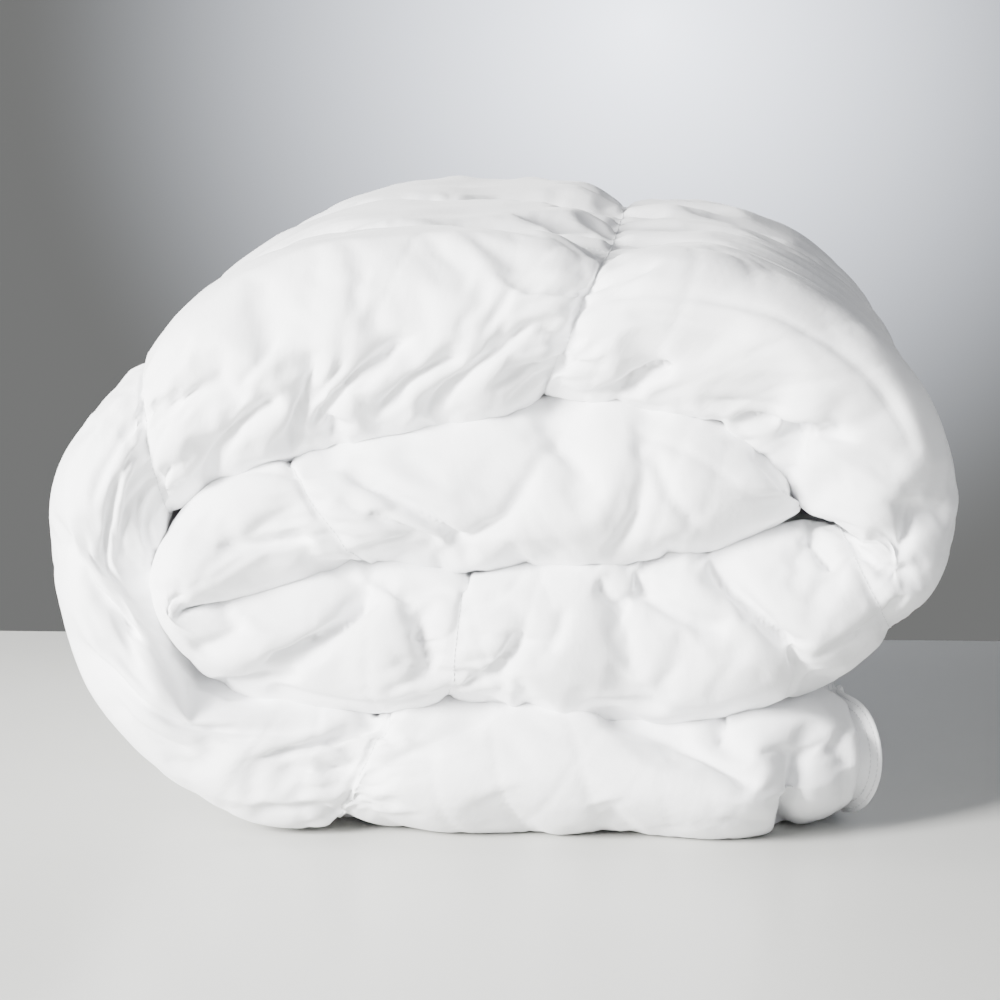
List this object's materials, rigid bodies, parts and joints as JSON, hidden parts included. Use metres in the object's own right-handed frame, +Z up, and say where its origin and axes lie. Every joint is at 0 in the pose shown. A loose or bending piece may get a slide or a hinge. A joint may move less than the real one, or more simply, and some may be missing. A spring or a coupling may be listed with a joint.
{
  "type": "rolled duvet",
  "caption": "White box-stitched down duvet, folded once along its length and rolled into a thick flattened spiral with its sewn tail edge underneath.",
  "frame": {"origin": "middle of the roll's footprint on the surface it rests on, at the bottom centre of the bounding box", "axes": "+Z up; +Y along the roll's axis, from the duvet's lengthwise fold at the front to its open side hems at the back; +X to the right seen from the fold, towards the tail hem"},
  "size_m": [0.579, 0.707, 0.3826],
  "materials": {
    "cotton": "soft white down-proof cotton, matt with a faint sheen",
    "down": "loose white feather and down, matt",
    "baffle_tape": "thin white cotton tape, matt",
    "label": "smooth white woven tape, blank"
  },
  "bodies": {
    "root": {"face_cloth": "cotton", "back_cloth": "cotton", "tail_hem": "cotton", "core_hem": "cotton", "side_hem_outer": "cotton", "side_hem_inner": "cotton", "down_row1_box1": "down", "down_row1_box2": "down", "down_row1_box3": "down", "down_row1_box4": "down", "down_row1_box5": "down", "down_row2_box1": "down", "down_row2_box2": "down", "down_row2_box3": "down", "down_row2_box4": "down", "down_row2_box5": "down", "down_row3_box1": "down", "down_row3_box2": "down", "down_row3_box3": "down", "down_row3_box4": "down", "down_row3_box5": "down", "down_row4_box1": "down", "down_row4_box2": "down", "down_row4_box3": "down", "down_row4_box4": "down", "down_row4_box5": "down", "down_row5_box1": "down", "down_row5_box2": "down", "down_row5_box3": "down", "down_row5_box4": "down", "down_row5_box5": "down", "down_row6_box1": "down", "down_row6_box2": "down", "down_row6_box3": "down", "down_row6_box4": "down", "down_row6_box5": "down", "down_row7_box1": "down", "down_row7_box2": "down", "down_row7_box3": "down", "down_row7_box4": "down", "down_row7_box5": "down", "long_baffle_1": "baffle_tape", "long_baffle_2": "baffle_tape", "long_baffle_3": "baffle_tape", "long_baffle_4": "baffle_tape", "cross_baffle_1": "baffle_tape", "cross_baffle_2": "baffle_tape", "cross_baffle_3": "baffle_tape", "cross_baffle_4": "baffle_tape", "cross_baffle_5": "baffle_tape", "cross_baffle_6": "baffle_tape", "care_label": "label"}
  },
  "joints": []
}
